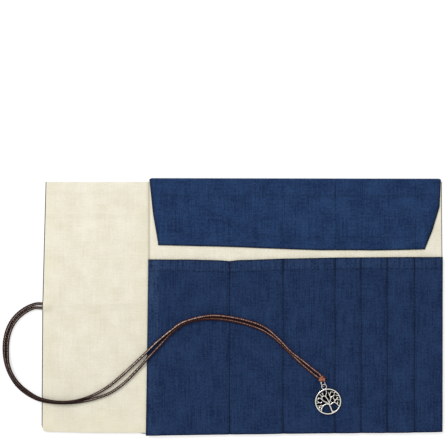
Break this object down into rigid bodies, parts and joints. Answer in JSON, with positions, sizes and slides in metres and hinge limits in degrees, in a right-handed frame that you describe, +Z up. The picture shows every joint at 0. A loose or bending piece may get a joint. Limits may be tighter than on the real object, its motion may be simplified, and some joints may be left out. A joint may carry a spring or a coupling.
{
  "type": "brush roll case",
  "caption": "Cloth roll-up case for art brushes, laid open: check outer cover, cream lining, blue slotted pockets, blue top flap, and a doubled cord tie with a tree charm.",
  "frame": {"origin": "middle of the underside of the open case", "axes": "+X along the case from the plain end to the narrow pockets, +Y towards the flap's fold, +Z up out of the pockets"},
  "size_m": [0.3414, 0.198, 0.0068],
  "materials": {
    "outer_check_cloth": "woven cotton, small navy and white grid check",
    "cream_lining": "plain woven cotton canvas, cream",
    "navy_pocket": "plain woven cotton, navy blue",
    "navy_flap": "plain woven cotton, navy blue, two layers",
    "waxed_cord": "braided waxed cotton cord, brown",
    "aged_silver": "aged silver plating with dark recesses"
  },
  "bodies": {
    "strip_01": {"outer_cover_01": "outer_check_cloth", "left_lining_01": "cream_lining"},
    "strip_02": {"outer_cover_02": "outer_check_cloth", "left_lining_02": "cream_lining"},
    "strip_03": {"outer_cover_03": "outer_check_cloth", "left_lining_03": "cream_lining"},
    "strip_04": {"outer_cover_04": "outer_check_cloth", "left_lining_04": "cream_lining"},
    "strip_05": {"outer_cover_05": "outer_check_cloth", "right_lining_05": "cream_lining", "pocket_front_05": "navy_pocket"},
    "strip_06": {"outer_cover_06": "outer_check_cloth", "right_lining_06": "cream_lining", "pocket_front_06": "navy_pocket"},
    "strip_07": {"outer_cover_07": "outer_check_cloth", "right_lining_07": "cream_lining", "pocket_front_07": "navy_pocket"},
    "strip_08": {"outer_cover_08": "outer_check_cloth", "right_lining_08": "cream_lining", "pocket_front_08": "navy_pocket"},
    "strip_09": {"outer_cover_09": "outer_check_cloth", "right_lining_09": "cream_lining", "pocket_front_09": "navy_pocket"},
    "strip_10": {"outer_cover_10": "outer_check_cloth", "right_lining_10": "cream_lining", "pocket_front_10": "navy_pocket"},
    "strip_11": {"outer_cover_11": "outer_check_cloth", "right_lining_11": "cream_lining", "pocket_front_11": "navy_pocket"},
    "strip_12": {"outer_cover_12": "outer_check_cloth", "right_lining_12": "cream_lining", "pocket_front_12": "navy_pocket"},
    "strip_13": {"outer_cover_13": "outer_check_cloth", "right_lining_13": "cream_lining", "pocket_front_13": "navy_pocket"},
    "strip_14": {"outer_cover_14": "outer_check_cloth", "right_lining_14": "cream_lining", "pocket_front_14": "navy_pocket"},
    "strip_15": {"outer_cover_15": "outer_check_cloth", "right_lining_15": "cream_lining", "pocket_front_15": "navy_pocket"},
    "flap_part_05": {"flap_05": "navy_flap"},
    "flap_part_06": {"flap_06": "navy_flap"},
    "flap_part_07": {"flap_07": "navy_flap"},
    "flap_part_08": {"flap_08": "navy_flap"},
    "flap_part_09": {"flap_09": "navy_flap"},
    "flap_part_10": {"flap_10": "navy_flap"},
    "flap_part_11": {"flap_11": "navy_flap"},
    "flap_part_12": {"flap_12": "navy_flap"},
    "flap_part_13": {"flap_13": "navy_flap"},
    "flap_part_14": {"flap_14": "navy_flap"},
    "flap_part_15": {"flap_15": "navy_flap"},
    "tie_cord": {"tie_cord_outer": "waxed_cord", "tie_cord_inner": "waxed_cord", "cord_knot": "waxed_cord"},
    "jump_ring": {"jump_ring": "aged_silver"},
    "charm": {"charm": "aged_silver"}
  },
  "joints": [
    {"name": "roll_01", "type": "hinge", "parent": "strip_01", "child": "strip_02", "pos_m": [-0.13455, 0, 0.0014], "axis": [0, -1, 0], "range_deg": [0, 39.94], "deforming": ["tie_cord_outer", "tie_cord_inner", "cord_knot", "jump_ring", "charm"]},
    {"name": "roll_02", "type": "hinge", "parent": "strip_02", "child": "strip_03", "pos_m": [-0.11385, 0, 0.0014], "axis": [0, -1, 0], "range_deg": [0, 41.24]},
    {"name": "roll_03", "type": "hinge", "parent": "strip_03", "child": "strip_04", "pos_m": [-0.09315, 0, 0.0014], "axis": [0, -1, 0], "range_deg": [0, 42.61]},
    {"name": "roll_04", "type": "hinge", "parent": "strip_04", "child": "strip_05", "pos_m": [-0.07245, 0, 0.0023], "axis": [0, -1, 0], "range_deg": [0, 44.13]},
    {"name": "roll_05", "type": "hinge", "parent": "strip_05", "child": "strip_06", "pos_m": [-0.05175, 0, 0.0023], "axis": [0, -1, 0], "range_deg": [0, 45.83]},
    {"name": "roll_06", "type": "hinge", "parent": "strip_06", "child": "strip_07", "pos_m": [-0.03105, 0, 0.0023], "axis": [0, -1, 0], "range_deg": [0, 47.74]},
    {"name": "roll_07", "type": "hinge", "parent": "strip_07", "child": "strip_08", "pos_m": [-0.01035, 0, 0.0023], "axis": [0, -1, 0], "range_deg": [0, 49.92]},
    {"name": "roll_08", "type": "hinge", "parent": "strip_08", "child": "strip_09", "pos_m": [0.01035, 0, 0.0023], "axis": [0, -1, 0], "range_deg": [0, 52.41]},
    {"name": "roll_09", "type": "hinge", "parent": "strip_09", "child": "strip_10", "pos_m": [0.03105, 0, 0.0023], "axis": [0, -1, 0], "range_deg": [0, 55.33]},
    {"name": "roll_10", "type": "hinge", "parent": "strip_10", "child": "strip_11", "pos_m": [0.05175, 0, 0.0023], "axis": [0, -1, 0], "range_deg": [0, 58.8]},
    {"name": "roll_11", "type": "hinge", "parent": "strip_11", "child": "strip_12", "pos_m": [0.07245, 0, 0.0023], "axis": [0, -1, 0], "range_deg": [0, 63.01]},
    {"name": "roll_12", "type": "hinge", "parent": "strip_12", "child": "strip_13", "pos_m": [0.09315, 0, 0.0023], "axis": [0, -1, 0], "range_deg": [0, 68.28]},
    {"name": "roll_13", "type": "hinge", "parent": "strip_13", "child": "strip_14", "pos_m": [0.11385, 0, 0.0023], "axis": [0, -1, 0], "range_deg": [0, 75.15]},
    {"name": "roll_14", "type": "hinge", "parent": "strip_14", "child": "strip_15", "pos_m": [0.13455, 0, 0.0023], "axis": [0, -1, 0], "range_deg": [0, 84.61]},
    {"name": "flap_fold_05", "type": "hinge", "parent": "strip_05", "child": "flap_part_05", "pos_m": [-0.0621, 0.09785, 0.00115], "axis": [1, 0, 0], "range_deg": [-180, 0]},
    {"name": "flap_fold_06", "type": "hinge", "parent": "strip_06", "child": "flap_part_06", "pos_m": [-0.0414, 0.09785, 0.00115], "axis": [1, 0, 0], "range_deg": [-180, 0]},
    {"name": "flap_fold_07", "type": "hinge", "parent": "strip_07", "child": "flap_part_07", "pos_m": [-0.0207, 0.09785, 0.00115], "axis": [1, 0, 0], "range_deg": [-180, 0]},
    {"name": "flap_fold_08", "type": "hinge", "parent": "strip_08", "child": "flap_part_08", "pos_m": [0, 0.09785, 0.00115], "axis": [1, 0, 0], "range_deg": [-180, 0]},
    {"name": "flap_fold_09", "type": "hinge", "parent": "strip_09", "child": "flap_part_09", "pos_m": [0.0207, 0.09785, 0.00115], "axis": [1, 0, 0], "range_deg": [-180, 0]},
    {"name": "flap_fold_10", "type": "hinge", "parent": "strip_10", "child": "flap_part_10", "pos_m": [0.0414, 0.09785, 0.00115], "axis": [1, 0, 0], "range_deg": [-180, 0]},
    {"name": "flap_fold_11", "type": "hinge", "parent": "strip_11", "child": "flap_part_11", "pos_m": [0.0621, 0.09785, 0.00115], "axis": [1, 0, 0], "range_deg": [-180, 0]},
    {"name": "flap_fold_12", "type": "hinge", "parent": "strip_12", "child": "flap_part_12", "pos_m": [0.0828, 0.09785, 0.00115], "axis": [1, 0, 0], "range_deg": [-180, 0]},
    {"name": "flap_fold_13", "type": "hinge", "parent": "strip_13", "child": "flap_part_13", "pos_m": [0.1035, 0.09785, 0.00115], "axis": [1, 0, 0], "range_deg": [-180, 0]},
    {"name": "flap_fold_14", "type": "hinge", "parent": "strip_14", "child": "flap_part_14", "pos_m": [0.1242, 0.09785, 0.00115], "axis": [1, 0, 0], "range_deg": [-180, 0]},
    {"name": "flap_fold_15", "type": "hinge", "parent": "strip_15", "child": "flap_part_15", "pos_m": [0.1449, 0.09785, 0.00115], "axis": [1, 0, 0], "range_deg": [-180, 0]},
    {"name": "cord_swing", "type": "hinge", "parent": "strip_01", "child": "tie_cord", "pos_m": [-0.1558, 0, 0.0015], "axis": [0, 0, 1], "range_deg": [-80.05, 0]},
    {"name": "jump_ring_turn", "type": "hinge", "parent": "tie_cord", "child": "jump_ring", "pos_m": [0.06265, -0.06006, 0.00425], "axis": [-0.6812, -0.1897, -0.7071], "range_deg": [0, 60]},
    {"name": "charm_lift", "type": "hinge", "parent": "jump_ring", "child": "charm", "pos_m": [0.06277, -0.06051, 0.00425], "axis": [-0.9634, -0.2682, 0], "range_deg": [0, 40]}
  ],
  "couplings": [
    {"joint": "roll_02", "follows": "roll_01", "ratio": 1.0313},
    {"joint": "roll_03", "follows": "roll_01", "ratio": 1.0656},
    {"joint": "roll_04", "follows": "roll_01", "ratio": 1.1037},
    {"joint": "roll_05", "follows": "roll_01", "ratio": 1.1462},
    {"joint": "roll_06", "follows": "roll_01", "ratio": 1.194},
    {"joint": "roll_07", "follows": "roll_01", "ratio": 1.2486},
    {"joint": "roll_08", "follows": "roll_01", "ratio": 1.311},
    {"joint": "roll_09", "follows": "roll_01", "ratio": 1.3841},
    {"joint": "roll_10", "follows": "roll_01", "ratio": 1.471},
    {"joint": "roll_11", "follows": "roll_01", "ratio": 1.5764},
    {"joint": "roll_12", "follows": "roll_01", "ratio": 1.7083},
    {"joint": "roll_13", "follows": "roll_01", "ratio": 1.8803},
    {"joint": "roll_14", "follows": "roll_01", "ratio": 2.1172},
    {"joint": "flap_fold_06", "follows": "flap_fold_05", "ratio": 1},
    {"joint": "flap_fold_07", "follows": "flap_fold_05", "ratio": 1},
    {"joint": "flap_fold_08", "follows": "flap_fold_05", "ratio": 1},
    {"joint": "flap_fold_09", "follows": "flap_fold_05", "ratio": 1},
    {"joint": "flap_fold_10", "follows": "flap_fold_05", "ratio": 1},
    {"joint": "flap_fold_11", "follows": "flap_fold_05", "ratio": 1},
    {"joint": "flap_fold_12", "follows": "flap_fold_05", "ratio": 1},
    {"joint": "flap_fold_13", "follows": "flap_fold_05", "ratio": 1},
    {"joint": "flap_fold_14", "follows": "flap_fold_05", "ratio": 1},
    {"joint": "flap_fold_15", "follows": "flap_fold_05", "ratio": 1},
    {"joint": "cord_swing", "follows": "roll_01", "ratio": -2.003}
  ]
}
